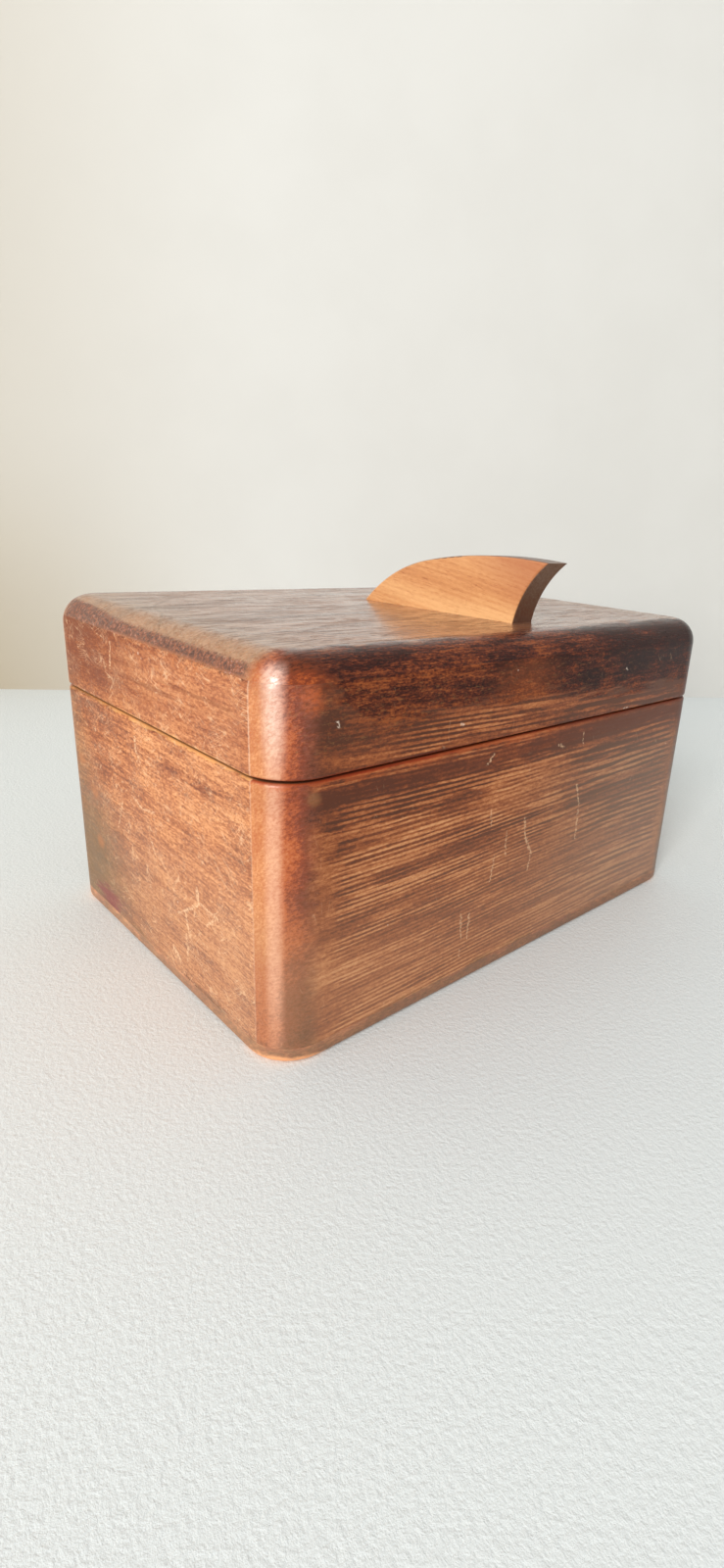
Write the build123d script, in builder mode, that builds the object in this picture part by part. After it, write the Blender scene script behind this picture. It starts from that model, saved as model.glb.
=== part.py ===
import os
from math import asin, cos, radians, sin, sqrt, tan

from build123d import *

# The box stands on the XY plane: its long side lies along X, its front faces -Y and its
# hinges are at the back. The origin is the centre of the underside. Sizes are millimetres.

# Outside of the box
length = 150.0
depth = 104.3
base_height = 60.4
lid_height = 22.55
seam_gap = 0.45
corner_radius = 10.3
top_round = 7.0
foot_ease = 1.2
seam_ease = 0.8

# Thickness of the boards
wall = 8.0
top_thickness = 5.0
bottom_thickness = 3.5

# Hinge line, and the bevels of the back arrises that stop the open lid
pin_setback = 2.2
stop_angle = 100.0

# Butt hinges
hinge_length = 22.0
hinge_from_end = 31.0
leaf_width = 5.2
leaf_thickness = 0.8
leaf_fit = 0.1
barrel_radius = 1.5
barrel_clearance = 0.25
knuckle_play = 0.15
pin_radius = 0.6
pin_play = 0.05
pin_seat = 0.02

# Hinge screws and the two screws that hold the fin from inside the lid
leaf_screw_pitch = 14.0
leaf_screw_radius = 0.7
leaf_screw_head = 1.25
leaf_screw_length = 6.0
fin_screw_pitch = 28.0
fin_screw_radius = 1.2
fin_screw_head = 2.3
fin_screw_length = 12.0
screw_fit = 0.05
slot_width = 0.25

# Fin handle: a plate on edge, whose pointed end overhangs towards the front
fin_thickness = 8.5
fin_height = 15.6
fin_foot = 53.0
fin_overhang = 8.9
fin_crest = 12.0
fin_shoulder = 39.0
fin_crown_radius = 127.0
fin_hollow = 1.55
fin_ease = 0.5
fin_from_front = 7.2
fin_offset = 5.0
fin_turn = 4.2
fin_screw_inset = 8.0

# Levels and places that follow from the sizes above
lid_bottom = base_height + seam_gap
box_height = lid_bottom + lid_height
rail_top = box_height - top_thickness
seam_middle = base_height + seam_gap / 2
inner_depth = depth - 2 * wall
pin_y = depth / 2 - pin_setback
hinge_places = [hinge_from_end - length / 2, length / 2 - hinge_from_end]
corner_to_corner = (Align.CENTER, Align.CENTER, Align.MIN)


def save(piece, name):
    """Names a finished piece and writes it to its own file."""
    piece.part.label = name
    export_step(piece.part, f"parts/{name}.step")


def seam_plane(x, side):
    """Plane at the hinge line: x along the pin, y into the box, z away from the seam.

    The side is 1 for the lid, whose wood lies above the seam, and -1 for the base.
    """
    return Plane(origin=(x, pin_y, seam_middle), x_dir=(-side, 0, 0), z_dir=(0, 0, side))


def screw_spots(x, side):
    """Places on one leaf where its screws go in, with z pointing out of the wood."""
    inwards = (barrel_radius + leaf_width) / 2
    face = seam_gap / 2
    plane = seam_plane(x, side)
    return [
        plane.location * Location((along, inwards, face), (180, 0, 0))
        for along in (-leaf_screw_pitch / 2, leaf_screw_pitch / 2)
    ]


def fin_screw_spots():
    """Places under the lid's top where the fin's screws go in, with z pointing down."""
    heel = fin_tip + fin_overhang
    return [
        fin_plane.location * Location((along, -top_thickness, 0), (90, 0, 0))
        for along in (heel + fin_screw_inset, heel + fin_screw_inset + fin_screw_pitch)
    ]


def wood_screw(radius, head_radius, screw_length):
    """Countersunk slotted screw: its head is at the origin and its point towards -Z."""
    head_depth = head_radius - radius
    point = 2 * radius
    with BuildPart() as screw:
        with BuildSketch(Plane.XZ):
            with BuildLine():
                Polyline(
                    (0, 0),
                    (head_radius, 0),
                    (radius, -head_depth),
                    (radius, point - screw_length),
                    (0, -screw_length),
                    close=True,
                )
            make_face()
        revolve(axis=Axis.Z)
        with Locations((0, 0, -head_depth / 2)):
            Box(2 * head_radius, slot_width, head_depth, align=corner_to_corner, mode=Mode.SUBTRACT)
    return screw.part


def bevel_back(side):
    """Bevels the back arris of the board that is being made, down to the hinge line."""
    reach = pin_setback + 1
    drop = reach * tan(radians(stop_angle / 2))
    with BuildSketch(Plane.YZ.offset(-length / 2)) as wedge:
        with BuildLine():
            Polyline(
                (pin_y, seam_middle),
                (pin_y + reach, seam_middle),
                (pin_y + reach, seam_middle + side * drop),
                close=True,
            )
        make_face()
    extrude(wedge.sketch, amount=length, mode=Mode.SUBTRACT)


def let_in_hinges(side):
    """Cuts the leaf recesses, barrel seats and screw holes of the board that is being made."""
    seat = barrel_radius + barrel_clearance
    from_back = (Align.CENTER, Align.MAX, Align.MIN)
    for x in hinge_places:
        with Locations(seam_plane(x, side)):
            with Locations((0, leaf_width + leaf_fit, 0)):
                Box(
                    hinge_length + 2 * leaf_fit,
                    leaf_width + leaf_fit,
                    seam_gap / 2 + leaf_thickness,
                    align=from_back,
                    mode=Mode.SUBTRACT,
                )
            with Locations((0, seat, 0)):
                Box(
                    hinge_length + 2 * leaf_fit,
                    seat + 2 * pin_setback,
                    seat,
                    align=from_back,
                    mode=Mode.SUBTRACT,
                )
        with Locations(*screw_spots(x, side)):
            Hole(leaf_screw_radius + screw_fit, leaf_screw_length + leaf_thickness)


def hinge_leaf(x, side, knuckles, bore_radius):
    """One leaf with its knuckles, each a (middle, span) along the pin."""
    plate_start = barrel_radius + barrel_clearance
    inwards = (Align.CENTER, Align.MIN, Align.MIN)
    with BuildPart(seam_plane(x, side)) as leaf:
        with Locations((0, plate_start, seam_gap / 2)):
            Box(hinge_length, leaf_width - plate_start, leaf_thickness, align=inwards)
        for middle, span in knuckles:
            with Locations((middle, 0, seam_gap / 2)):
                Box(span, plate_start, leaf_thickness, align=inwards)
            with Locations((middle, 0, 0)):
                Cylinder(barrel_radius, span, rotation=(0, 90, 0))
        Cylinder(bore_radius, hinge_length, rotation=(0, 90, 0), mode=Mode.SUBTRACT)
    with BuildPart() as drilled:
        add(leaf.part)
        with Locations(*screw_spots(x, side)):
            CounterSinkHole(
                leaf_screw_radius + screw_fit,
                leaf_screw_head + screw_fit,
                2 * leaf_thickness,
                counter_sink_angle=90,
            )
    return drilled


os.makedirs("parts", exist_ok=True)

# The base and the lid as shaped blocks, which the boards are then cut from, so that the
# rounded corners and edges run on from one board to the next
with BuildPart() as base_block:
    with BuildSketch():
        RectangleRounded(length, depth, corner_radius)
    extrude(amount=base_height)
    fillet(base_block.faces().sort_by(Axis.Z)[0].edges(), foot_ease)
    fillet(base_block.faces().sort_by(Axis.Z)[-1].edges(), seam_ease)

with BuildPart() as lid_block:
    with BuildSketch(Plane.XY.offset(lid_bottom)):
        RectangleRounded(length, depth, corner_radius)
    extrude(amount=lid_height)
    fillet(lid_block.faces().sort_by(Axis.Z)[-1].edges(), top_round)
    fillet(lid_block.faces().sort_by(Axis.Z)[0].edges(), seam_ease)

# Base: a bottom panel glued under four walls, the front and back lapping over the ends
base_wall = base_height - bottom_thickness

with BuildPart() as bottom_panel:
    add(base_block.part)
    Box(length, depth, bottom_thickness, align=corner_to_corner, mode=Mode.INTERSECT)
save(bottom_panel, "bottom_panel")

with BuildPart() as front_board:
    add(base_block.part)
    with Locations((0, (wall - depth) / 2, bottom_thickness)):
        Box(length, wall, base_wall, align=corner_to_corner, mode=Mode.INTERSECT)
save(front_board, "front_board")

with BuildPart() as back_board:
    add(base_block.part)
    with Locations((0, (depth - wall) / 2, bottom_thickness)):
        Box(length, wall, base_wall, align=corner_to_corner, mode=Mode.INTERSECT)
    bevel_back(-1)
    let_in_hinges(-1)
save(back_board, "back_board")

for hand, direction in (("left", -1), ("right", 1)):
    with BuildPart() as end_board:
        add(base_block.part)
        with Locations((direction * (length - wall) / 2, 0, bottom_thickness)):
            Box(wall, inner_depth, base_wall, align=corner_to_corner, mode=Mode.INTERSECT)
    save(end_board, f"{hand}_end_board")

# Lid: the same four walls under a top panel
rail_height = rail_top - lid_bottom

with BuildPart() as lid_front_rail:
    add(lid_block.part)
    with Locations((0, (wall - depth) / 2, lid_bottom)):
        Box(length, wall, rail_height, align=corner_to_corner, mode=Mode.INTERSECT)
save(lid_front_rail, "lid_front_rail")

with BuildPart() as lid_back_rail:
    add(lid_block.part)
    with Locations((0, (depth - wall) / 2, lid_bottom)):
        Box(length, wall, rail_height, align=corner_to_corner, mode=Mode.INTERSECT)
    bevel_back(1)
    let_in_hinges(1)
save(lid_back_rail, "lid_back_rail")

for hand, direction in (("left", -1), ("right", 1)):
    with BuildPart() as lid_end_rail:
        add(lid_block.part)
        with Locations((direction * (length - wall) / 2, 0, lid_bottom)):
            Box(wall, inner_depth, rail_height, align=corner_to_corner, mode=Mode.INTERSECT)
    save(lid_end_rail, f"lid_{hand}_rail")

# Fin outline, in a plane that stands on the lid: x towards the back, y up
fin_plane = Plane(Location((fin_offset, 0, box_height), (0, 0, fin_turn)) * Plane.YZ.location)
fin_tip = fin_from_front - depth / 2
crest_run = fin_shoulder - fin_crest


def crown_height(run):
    """Height of the fin's long top arc at this distance from its crest."""
    return fin_height - fin_crown_radius + sqrt(fin_crown_radius**2 - run**2)


with BuildPart() as lid_top_panel:
    add(lid_block.part)
    with Locations((0, 0, rail_top)):
        Box(length, depth, top_thickness, align=corner_to_corner, mode=Mode.INTERSECT)
    with Locations(*fin_screw_spots()):
        CounterSinkHole(
            fin_screw_radius + screw_fit,
            fin_screw_head + screw_fit,
            2 * top_thickness,
            counter_sink_angle=90,
        )
save(lid_top_panel, "lid_top_panel")

with BuildPart() as fin_handle:
    with BuildSketch(fin_plane):
        with BuildLine():
            tip = (fin_tip, crown_height(fin_crest))
            crest = (fin_tip + fin_crest, fin_height)
            shoulder = (fin_tip + fin_shoulder, crown_height(crest_run))
            heel = (fin_tip + fin_overhang, 0)
            toe = (heel[0] + fin_foot, 0)
            slope = asin(crest_run / fin_crown_radius)
            ThreePointArc(tip, crest, shoulder)
            TangentArc(shoulder, toe, tangent=(cos(slope), -sin(slope)))
            Line(toe, heel)
            SagittaArc(heel, tip, -fin_hollow)
        make_face()
    extrude(amount=fin_thickness / 2, both=True)
    sides = fin_handle.faces().filter_by(Plane(fin_plane.location))
    foot_edges = fin_handle.faces().sort_by(Axis.Z)[0].edges()
    fillet([edge for edge in sides.edges() if edge not in foot_edges], fin_ease)
    with Locations(*fin_screw_spots()):
        Hole(fin_screw_radius + screw_fit, fin_screw_length)
save(fin_handle, "fin_handle")

with BuildPart() as fin_screws:
    with Locations(*fin_screw_spots()):
        add(wood_screw(fin_screw_radius, fin_screw_head, fin_screw_length))
save(fin_screws, "fin_screws")

# Hinges: the base leaf has the two outer knuckles, the lid leaf the middle one
knuckle = (hinge_length - 2 * knuckle_play) / 3
outer_knuckles = [(-knuckle - knuckle_play, knuckle), (knuckle + knuckle_play, knuckle)]
middle_knuckle = [(0, knuckle)]

for hand, x in zip(("left", "right"), hinge_places):
    base_leaf = hinge_leaf(x, -1, outer_knuckles, pin_radius + pin_seat)
    save(base_leaf, f"{hand}_base_leaf")

    lid_leaf = hinge_leaf(x, 1, middle_knuckle, pin_radius + pin_play)
    save(lid_leaf, f"{hand}_lid_leaf")

    with BuildPart(seam_plane(x, 1)) as hinge_pin:
        Cylinder(pin_radius, hinge_length, rotation=(0, 90, 0))
    save(hinge_pin, f"{hand}_hinge_pin")

leaf_screw = wood_screw(leaf_screw_radius, leaf_screw_head, leaf_screw_length)
for name, side in (("base_leaf_screws", -1), ("lid_leaf_screws", 1)):
    with BuildPart() as leaf_screws:
        for x in hinge_places:
            with Locations(*screw_spots(x, side)):
                add(leaf_screw)
    save(leaf_screws, name)
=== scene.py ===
from math import cos, pi, radians

import bpy
from mathutils import Matrix, Vector


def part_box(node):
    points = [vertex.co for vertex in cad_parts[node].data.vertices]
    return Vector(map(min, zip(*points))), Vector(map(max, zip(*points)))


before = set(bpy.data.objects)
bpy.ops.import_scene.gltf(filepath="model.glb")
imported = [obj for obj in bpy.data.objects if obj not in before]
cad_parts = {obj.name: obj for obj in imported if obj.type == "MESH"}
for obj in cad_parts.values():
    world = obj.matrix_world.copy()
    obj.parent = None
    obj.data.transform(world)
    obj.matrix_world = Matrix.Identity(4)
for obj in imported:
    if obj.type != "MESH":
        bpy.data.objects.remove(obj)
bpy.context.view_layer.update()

# Sizes of the box in millimetres, read from the frame. Patterns are laid out in millimetres,
# with X along the front, Y towards the back and Z up from the underside.
MM = 1000
TURN = 2 * pi


def place(node, corner, axis):
    """A node's lowest (0) or highest (1) corner along an axis (0, 1, 2), in millimetres."""
    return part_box(node)[corner][axis] * MM


HALF_LENGTH = place("bottom_panel", 1, 0)
HALF_DEPTH = place("bottom_panel", 1, 1)
BOTTOM_TOP = place("bottom_panel", 1, 2)
RIM = place("front_board", 1, 2)
LID_RIM = place("lid_front_rail", 0, 2)
PANEL_UNDER = place("lid_top_panel", 0, 2)
LID_TOP = place("lid_top_panel", 1, 2)
INNER_LENGTH = place("right_end_board", 0, 0)
INNER_DEPTH = -place("front_board", 1, 1)
SEAM = (RIM + LID_RIM) / 2
CORNER_RADIUS = 10.3
FLAT_LENGTH = HALF_LENGTH - CORNER_RADIUS
FLAT_DEPTH = HALF_DEPTH - CORNER_RADIUS
FIN_X = 5.0
FIN_TURN = radians(4.2)
FIN_HALF = 4.25
FIN_HEEL = -36.05
FIN_OVERHANG = 8.9
FIN_TIP_UP = 15.0
FIN_HOLLOW = 1.8
TOUCH = 0.05
SKIN = 0.4


def colour(red, green, blue):
    """A colour from the 0 to 255 values that a paint chart gives, as linear light."""
    levels = [level / 255 for level in (red, green, blue)]
    return (*[v / 12.92 if v <= 0.04045 else ((v + 0.055) / 1.055) ** 2.4 for v in levels], 1)


PALE_WOOD = colour(222, 156, 104)
LIGHT_WOOD = colour(192, 120, 72)
MID_WOOD = colour(154, 82, 42)
BROWN_WOOD = colour(114, 54, 28)
DARK_WOOD = colour(76, 36, 22)
TOP_WOOD = colour(178, 112, 70)
RED_WOOD = colour(176, 86, 40)
RED_DARK = colour(124, 54, 30)
FOOT_ORANGE = colour(236, 164, 112)
STAIN = colour(66, 28, 20)
DEEP_STAIN = colour(34, 14, 12)
LID_RED = colour(108, 50, 28)
RIM_DARK = colour(94, 54, 36)
RIM_WOOD = colour(132, 82, 54)
SEAM_RED = colour(176, 66, 34)
LIP_RED = colour(146, 48, 24)
# Gold of the painted glint on the seam's arrises and on the ends' rims
SEAM_GLINT_GOLD = colour(232, 172, 108)
# Grey-beige of the top's dust and painted sheen
TOP_DUST_AND_SHEEN = colour(174, 143, 112)
END_FLECK = colour(160, 124, 118)
END_DARK = colour(64, 36, 34)
END_MIDDLE = colour(104, 64, 54)
FOOT_DIRT = colour(112, 86, 62)
OLIVE_DUST = colour(126, 106, 88)
# Pale colour of the painted highlight down the corners
HIGHLIGHT_PALE = colour(222, 170, 140)
WORN_ORANGE = colour(188, 92, 46)
# Gold of the seam's worn arrises and their painted glints
WORN_GOLD_GLINT = colour(240, 182, 112)
PALE_SCRATCH = colour(232, 190, 150)
GLUE = colour(212, 176, 150)
PALE_FLECK = colour(240, 218, 196)
BARE_WOOD = colour(176, 134, 92)
BARE_DARK = colour(138, 98, 64)
DUSTY_WOOD = colour(186, 148, 122)
GREY_DIRT = colour(116, 98, 74)
PINK_STAIN = colour(132, 58, 70)
OLIVE_SPOT = colour(150, 104, 64)
OLIVE_WOOD = colour(168, 128, 92)
# Whiter painted highlight on the lid's corners
LID_HIGHLIGHT_PALE = colour(244, 218, 204)
HONEY_PALE = colour(230, 176, 120)
HONEY = colour(206, 143, 90)
HONEY_DARK = colour(168, 100, 58)
HONEY_RED = colour(170, 98, 62)
END_RED = colour(104, 58, 36)
END_BROWN = colour(110, 80, 60)
END_GREY = colour(128, 106, 92)
EDGE_BROWN = colour(92, 64, 50)
BRASS = colour(178, 142, 78)
BRASS_DARK = colour(98, 72, 42)


class Nodes:
    """A node tree that is being filled, with short ways to add the nodes used here."""

    def __init__(self, tree):
        self.tree = tree

    def add(self, kind, inputs=None, **settings):
        made = self.tree.nodes.new(kind)
        for name, value in settings.items():
            setattr(made, name, value)
        for name, value in (inputs or {}).items():
            self.feed(made.inputs[name], value)
        return made

    def feed(self, socket, value):
        if isinstance(value, bpy.types.NodeSocket):
            self.tree.links.new(value, socket)
        else:
            socket.default_value = value

    def maths(self, operation, *values):
        inputs = dict(enumerate(values))
        return self.add("ShaderNodeMath", inputs, operation=operation).outputs[0]

    def chain(self, operation, first, *others):
        for other in others:
            first = self.maths(operation, first, other)
        return first

    def times(self, *values):
        return self.chain("MULTIPLY", *values)

    def add_up(self, *values):
        return self.chain("ADD", *values)

    def larger(self, first, second):
        return self.maths("MAXIMUM", first, second)

    def less(self, first, second):
        """What is left of the first when the second is taken from it."""
        return self.maths("SUBTRACT", first, second)

    def over(self, first, second):
        return self.maths("DIVIDE", first, second)

    def size(self, value):
        """A value without its sign."""
        return self.maths("ABSOLUTE", value)

    def away(self, value, middle):
        """How far a value is from a middle, on either side."""
        return self.size(self.less(value, middle))

    def flip(self, mask):
        """A mask turned round: 1 where it was 0."""
        return self.less(1.0, mask)

    def centre(self, value):
        """A 0 to 1 pattern moved to lie about 0."""
        return self.less(value, 0.5)

    def swing(self, value, amount):
        """A 0 to 1 pattern moved to lie about 0, times an amount."""
        return self.times(self.centre(value), amount)

    def scaled(self, vector, scale):
        node = self.add("ShaderNodeVectorMath", {"Vector": vector, "Scale": scale}, operation="SCALE")
        return node.outputs[0]

    def vector(self, operation, *values, output=0):
        inputs = dict(enumerate(values))
        return self.add("ShaderNodeVectorMath", inputs, operation=operation).outputs[output]

    def split(self, vector):
        return self.add("ShaderNodeSeparateXYZ", {0: vector}).outputs

    def join(self, x, y, z):
        return self.add("ShaderNodeCombineXYZ", {0: x, 1: y, 2: z}).outputs[0]

    def stretch(self, vector, x, y, z):
        return self.vector("MULTIPLY", vector, (x, y, z))

    def with_grain(self, along, across, through, slant=0.5):
        """A place along, across and through a board's grain, whose rings lie at a slant."""
        return self.join(along, self.add_up(across, self.times(through, slant)), through)

    def noise(self, vector, detail=2.0, roughness=0.5):
        inputs = {"Vector": vector, "Scale": 1.0, "Detail": detail, "Roughness": roughness}
        return self.add("ShaderNodeTexNoise", inputs).outputs[0]

    def ease(self, value, low, high, start=0.0, end=1.0):
        """Start at low, end at high, and a smooth step between."""
        inputs = {"Value": value, "From Min": low, "From Max": high, "To Min": start, "To Max": end}
        node = self.add("ShaderNodeMapRange", inputs, interpolation_type="SMOOTHSTEP")
        return node.outputs[0]

    def fade(self, value, low, high):
        """1 at low, 0 at high, and a smooth step between."""
        return self.ease(value, low, high, 1.0, 0.0)

    def mix(self, factor, first, second):
        inputs = {0: factor, 6: first, 7: second}
        return self.add("ShaderNodeMix", inputs, data_type="RGBA").outputs[2]

    def shades(self, value, stops):
        """Colours along a value, each at its own position."""
        ramp = self.add("ShaderNodeValToRGB", {0: value})
        elements = ramp.color_ramp.elements
        while len(elements) < len(stops):
            elements.new(0.5)
        for element, (position, shade) in zip(elements, stops.items()):
            element.position = position
            element.color = shade
        return ramp.outputs[0]

    def group(self, tree, **inputs):
        return self.add("ShaderNodeGroup", inputs, node_tree=tree).outputs

    def position(self):
        """The point on the object in millimetres."""
        point = self.add("ShaderNodeTexCoord").outputs["Object"]
        return self.stretch(point, MM, MM, MM)


def new_group(name, **inputs):
    """An empty node group, as its nodes and its inputs, each given with its usual value."""
    tree = bpy.data.node_groups.new(name, "ShaderNodeTree")
    for socket_name, usual in inputs.items():
        kind = "NodeSocketVector" if isinstance(usual, tuple) else "NodeSocketFloat"
        socket = tree.interface.new_socket(socket_name, in_out="INPUT", socket_type=kind)
        socket.default_value = usual
    nodes = Nodes(tree)
    return nodes, nodes.add("NodeGroupInput").outputs


def give_out(nodes, **results):
    """The finished node group, which gives out its named results."""
    for name in results:
        nodes.tree.interface.new_socket(name, in_out="OUTPUT", socket_type="NodeSocketFloat")
    nodes.add("NodeGroupOutput", results)
    return nodes.tree


# Effects that several finishes share. Their Vector is a place in millimetres; the ones that lie along
# the grain are given it in the order along, across and through the board.

def make_grain():
    """Straight grain: narrow ribs, broad bands and short dark pores."""
    n, source = new_group("straight grain", Vector=(0, 0, 0), Pitch=1.15, Wander=6.0)
    along, across, through = n.split(source["Vector"])
    slow = n.noise(n.stretch(source["Vector"], 0.009, 0.02, 0.02), detail=1)
    quick = n.noise(n.stretch(source["Vector"], 0.06, 0.5, 0.5), detail=2)
    level = n.add_up(across, n.add_up(n.swing(slow, source["Wander"]), n.swing(quick, 0.55)))
    bent = n.join(along, level, through)
    wave = n.maths("SINE", n.over(n.times(level, TURN), source["Pitch"]))
    strong = n.ease(n.noise(n.stretch(bent, 0.05, 0.35, 0.35), detail=2), 0.3, 0.7, 0.08, 0.36)
    uneven = n.noise(n.stretch(bent, 0.06, 1.3, 1.3), detail=3, roughness=0.65)
    broad = n.noise(n.stretch(bent, 0.035, 0.5, 0.5), detail=3)
    ribs = n.add_up(n.times(wave, strong), n.swing(uneven, 0.9), n.swing(broad, 0.8), 0.5)
    bands = n.noise(n.stretch(bent, 0.011, 0.12, 0.12), detail=4, roughness=0.6)
    pores = n.noise(n.stretch(bent, 0.3, 3.0, 3.0), detail=2, roughness=0.6)
    return give_out(n, Ribs=ribs, Bands=bands, Pores=pores)


def make_streaks():
    """Dark feathered streaks that lie along the grain, at their own pitch across it."""
    n, source = new_group("feathered streaks", Vector=(0, 0, 0), Pitch=8.0, Amount=0.5)
    along, across, through = n.split(source["Vector"])
    sway = n.noise(n.stretch(source["Vector"], 0.03, 0.05, 0.05), detail=2)
    level = n.over(n.add_up(across, n.swing(sway, 8.0)), source["Pitch"])
    bent = n.join(along, level, through)
    broad = n.noise(n.stretch(bent, 0.022, 1.0, 1.0), detail=2)
    feather = n.noise(n.stretch(bent, 0.1, 7.0, 1.0), detail=4, roughness=0.65)
    depth = n.add_up(broad, n.swing(feather, 0.45))
    limit = n.less(0.72, n.times(source["Amount"], 0.4))
    return give_out(n, Mask=n.ease(n.less(depth, limit), -0.03, 0.07))


def make_mottle():
    """Fine uneven colour of old varnished wood, a little longer along the grain."""
    n, source = new_group("fine mottle", Vector=(0, 0, 0), Size=1.0)
    point = n.scaled(source["Vector"], n.over(1.0, source["Size"]))
    fine = n.noise(n.stretch(point, 0.7, 1.6, 1.6), detail=4, roughness=0.75)
    gritty = n.noise(n.stretch(point, 1.1, 1.9, 1.9), detail=2, roughness=0.9)
    cloudy = n.noise(n.stretch(point, 0.07, 0.13, 0.13), detail=5, roughness=0.65)
    return give_out(n, Fine=fine, Gritty=gritty, Cloudy=cloudy)


def make_wear():
    """A worn line along an edge, from the distance to the edge: 1 on it, 0 past its reach."""
    inputs = {"Distance": 0.0, "Reach": 1.0, "Breakup": 0.5, "Scale": 0.3}
    n, source = new_group("edge wear", Vector=(0, 0, 0), **inputs)
    rough = n.noise(n.scaled(source["Vector"], source["Scale"]), detail=5, roughness=0.65)
    shift = n.times(n.centre(rough), source["Breakup"], 6.0)
    reach = n.times(source["Reach"], n.add_up(shift, 1.0))
    share = n.over(source["Distance"], n.larger(reach, 0.001))
    return give_out(n, Mask=n.fade(share, 0.5, 1.05))


def make_scratches():
    """Short fine scratches in one main direction on a flat face, in its own two coordinates."""
    n, source = new_group("fine scratches", Vector=(0, 0, 0), Angle=0.0, Pitch=1.0, Amount=0.5)
    turn = {"Vector": source["Vector"], "Angle": source["Angle"]}
    turned = n.add("ShaderNodeVectorRotate", turn, rotation_type="Z_AXIS").outputs[0]
    bend = n.noise(n.stretch(turned, 0.06, 0.06, 0.06), detail=1)
    x, y, z = n.split(turned)
    bent = n.join(x, n.add_up(y, n.times(bend, 9.0)), z)
    across = n.over(1.0, source["Pitch"])
    line = n.vector("MULTIPLY", bent, n.join(0.09, across, across))
    thin = n.fade(n.size(n.centre(n.noise(line, detail=0))), 0.004, 0.024)
    where = n.noise(n.stretch(source["Vector"], 0.13, 0.13, 0.13), detail=4, roughness=0.7)
    limit = n.less(0.75, n.times(source["Amount"], 0.35))
    return give_out(n, Mask=n.times(thin, n.ease(n.less(where, limit), 0.0, 0.09)))


def make_specks():
    """Scattered small round specks, about a pitch apart, of which only an amount shows."""
    n, source = new_group("specks", Vector=(0, 0, 0), Pitch=3.0, Radius=0.3, Amount=0.2)
    point = n.scaled(source["Vector"], n.over(1.0, source["Pitch"]))
    cells = n.add("ShaderNodeTexVoronoi", {"Vector": point, "Scale": 1.0}).outputs
    chance = n.split(cells["Color"])
    radius = n.times(source["Radius"], n.add_up(chance[1], 0.4))
    spot = n.fade(n.over(n.times(cells["Distance"], source["Pitch"]), radius), 0.6, 1.0)
    return give_out(n, Mask=n.times(spot, n.maths("LESS_THAN", chance[0], source["Amount"])))


def make_stroke():
    """One scratch, straight from start to end with a ragged, broken edge."""
    inputs = {"Start": (0, 0, 0), "End": (1, 0, 0), "Width": 0.4}
    n, source = new_group("scratch stroke", Vector=(0, 0, 0), **inputs)
    wobble = n.add("ShaderNodeTexNoise", {"Vector": source["Vector"], "Scale": 0.9, "Detail": 3.0})
    bent = n.vector("SUBTRACT", wobble.outputs["Color"], (0.5, 0.5, 0.5))
    bent = n.vector("ADD", source["Vector"], n.scaled(bent, 1.6))
    run = n.vector("SUBTRACT", source["End"], source["Start"])
    reach = n.vector("SUBTRACT", bent, source["Start"])
    length = n.vector("DOT_PRODUCT", run, run, output="Value")
    along = n.over(n.vector("DOT_PRODUCT", reach, run, output="Value"), length)
    along = n.maths("MINIMUM", n.larger(along, 0.0), 1.0)
    away = n.vector("DISTANCE", reach, n.scaled(run, along), output="Value")
    edge = n.fade(n.over(away, source["Width"]), 0.2, 1.0)
    ragged = n.noise(n.stretch(source["Vector"], 1.9, 1.9, 1.9), detail=2)
    return give_out(n, Mask=n.times(edge, n.ease(ragged, 0.4, 0.54)))


def make_lid_stain():
    """Mottled stain on the lid's front: where it is, how light it is, and the red wood above it."""
    n, source = new_group("lid stain", Vector=(0, 0, 0))
    x, y, z = n.split(source["Vector"])
    lengthwise = n.with_grain(x, z, y)
    fine, gritty, cloudy = n.group(MOTTLE, Vector=lengthwise)
    finer = n.group(MOTTLE, Vector=lengthwise, Size=0.6)["Fine"]
    feather = n.noise(n.stretch(lengthwise, 0.06, 0.5, 0.5), detail=4, roughness=0.7)
    streak = n.noise(n.stretch(lengthwise, 0.1, 1.0, 1.0), detail=6, roughness=0.75)

    # The stain reaches down to this height
    edge = n.add_up(n.ease(x, -66.0, -54.0, 80.0, 69.5), n.ease(x, -4.0, 24.0, 0.0, -3.0))
    rise = n.add_up(n.less(z, edge), n.swing(feather, 14.0), n.swing(fine, 7.0), n.swing(cloudy, 6.0))
    stain = n.times(n.ease(rise, -1.5, 2.0), n.ease(z, 61.0, 64.0))
    on_edge = n.ease(n.away(x, 5.0), 7.0, 22.0, 0.16, -0.06)
    shade = n.add_up(
        n.swing(fine, 1.1), n.swing(gritty, 0.6), n.swing(cloudy, 1.1), 0.54,
        n.swing(streak, 1.5), n.swing(finer, 1.2),
        n.ease(x, -30.0, 20.0, 0.02, -0.2),
        n.ease(z, 66.0, 74.0, 0.1, 0.0),
        n.times(n.ease(x, 30.0, 50.0), n.ease(z, 76.0, 80.0, 0.0, -0.15)),
        n.times(on_edge, n.ease(z, 77.0, 79.0)),
    )
    red = n.add_up(z, n.swing(feather, 9.0), n.swing(fine, 5.0))
    red = n.times(n.ease(red, 76.0, 79.5), n.ease(x, -4.0, 30.0, 1.0, 0.25))
    return give_out(n, Stain=stain, Shade=shade, Red=red)


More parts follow.
